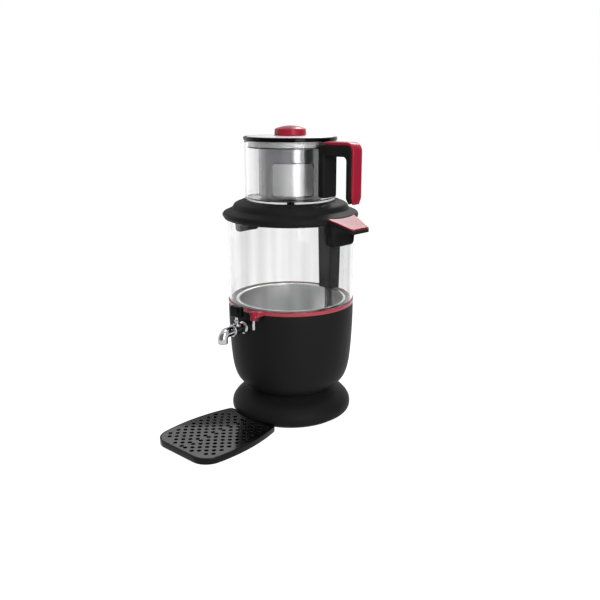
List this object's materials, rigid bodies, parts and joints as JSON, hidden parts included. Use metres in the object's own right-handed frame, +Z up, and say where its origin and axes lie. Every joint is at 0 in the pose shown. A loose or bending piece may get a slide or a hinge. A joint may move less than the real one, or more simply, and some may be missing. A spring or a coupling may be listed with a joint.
{
  "type": "automatic tea maker",
  "caption": "Countertop tea maker: glass water tank on a black boiler base, lift-off glass teapot with infuser, tap, toggle and drip tray.",
  "frame": {"origin": "centre of the foot's rubber ring, on the surface that the tea maker stands on, on the vessel's axis", "axes": "+Z up, -Y towards the tap and drip tray, +X along the teapot's handle"},
  "size_m": [0.237, 0.2948, 0.3904],
  "materials": {
    "matte_black": "satin moulded",
    "gloss_black": "glossy moulded",
    "gloss_red": "glossy moulded",
    "clear_glass": "clear polished",
    "polished_steel": "polished",
    "brushed_steel": "fine brushed",
    "chrome": "mirror chrome",
    "steel_fastener": "zinc plated",
    "inner_plastic": "plain moulded",
    "rubber": "matte silicone",
    "heater_metal": "as cast"
  },
  "bodies": {
    "base": {"foot_shell": "matte_black", "foot_ring": "rubber", "bottom_cover": "inner_plastic", "cover_screws": "steel_fastener", "neck_screws": "steel_fastener", "body_shell": "matte_black", "trim_ring": "gloss_red", "tank_seal": "rubber", "boiler_bowl": "polished_steel", "tank_glass": "clear_glass", "heater_plate": "heater_metal", "heater_element": "heater_metal", "thermostat": "heater_metal", "thermal_fuse": "heater_metal", "tap_body": "chrome", "tap_washer": "rubber", "tap_inner_washer": "rubber", "tap_nut": "steel_fastener", "toggle_housing": "gloss_red", "toggle_pin": "steel_fastener", "toggle_bracket": "gloss_black", "microswitch": "inner_plastic", "cord_gland": "rubber"},
    "tap_handle": {"tap_stem": "chrome", "tap_knob": "gloss_black"},
    "toggle": {"toggle_rod": "chrome"},
    "tank_lid": {"lid_shell": "matte_black", "lid_gasket": "rubber", "lid_underplate": "inner_plastic", "steam_plate": "polished_steel", "brew_nozzle": "inner_plastic", "riser_tube": "brushed_steel", "riser_column": "inner_plastic", "right_grip": "matte_black", "left_grip": "matte_black", "right_grip_cover": "gloss_red", "left_grip_cover": "gloss_red"},
    "teapot": {"jug_glass": "clear_glass", "jug_valve": "rubber", "handle_frame": "matte_black", "handle_cover": "gloss_red", "handle_screws": "steel_fastener", "handle_pad": "rubber"},
    "pot_lid": {"pot_lid_rim": "gloss_black", "pot_lid_plate": "polished_steel", "pot_lid_seal": "rubber", "pot_lid_knob": "gloss_red", "pot_lid_screw": "steel_fastener"},
    "infuser": {"infuser_rim": "brushed_steel", "infuser_cup": "brushed_steel", "infuser_screens": "brushed_steel", "infuser_base": "brushed_steel"},
    "drip_tray": {"tray_pan": "gloss_black", "tray_pads": "rubber"},
    "drip_grid": {"tray_grid": "gloss_black"}
  },
  "joints": [
    {"name": "tank_lid_lift", "type": "slide", "parent": "base", "child": "tank_lid", "axis": [0, 0, 1], "range_m": [0, 0.18]},
    {"name": "teapot_lift", "type": "slide", "parent": "tank_lid", "child": "teapot", "axis": [0, 0, 1], "range_m": [0, 0.12]},
    {"name": "pot_lid_lift", "type": "slide", "parent": "teapot", "child": "pot_lid", "axis": [0, 0, 1], "range_m": [0, 0.18]},
    {"name": "infuser_lift", "type": "slide", "parent": "teapot", "child": "infuser", "axis": [0, 0, 1], "range_m": [0, 0.081]},
    {"name": "tap_turn", "type": "hinge", "parent": "base", "child": "tap_handle", "pos_m": [0, -0.1018, 0.1385], "axis": [0, 0, 1], "range_deg": [0, 90]},
    {"name": "toggle_tilt", "type": "hinge", "parent": "base", "child": "toggle", "pos_m": [0.0248, -0.096, 0.1594], "axis": [-1, 0, 0], "range_deg": [0, 18], "stiffness_Nm_per_rad": 0.02},
    {"name": "tray_slide", "type": "slide", "parent": "base", "child": "drip_tray", "axis": [0, -1, 0], "range_m": [0, 0.12]},
    {"name": "grid_lift", "type": "slide", "parent": "drip_tray", "child": "drip_grid", "axis": [0, 0, 1], "range_m": [0, 0.06]}
  ],
  "couplings": [
    {"joint": "infuser_lift", "follows": "pot_lid_lift", "ratio": 0.45}
  ]
}
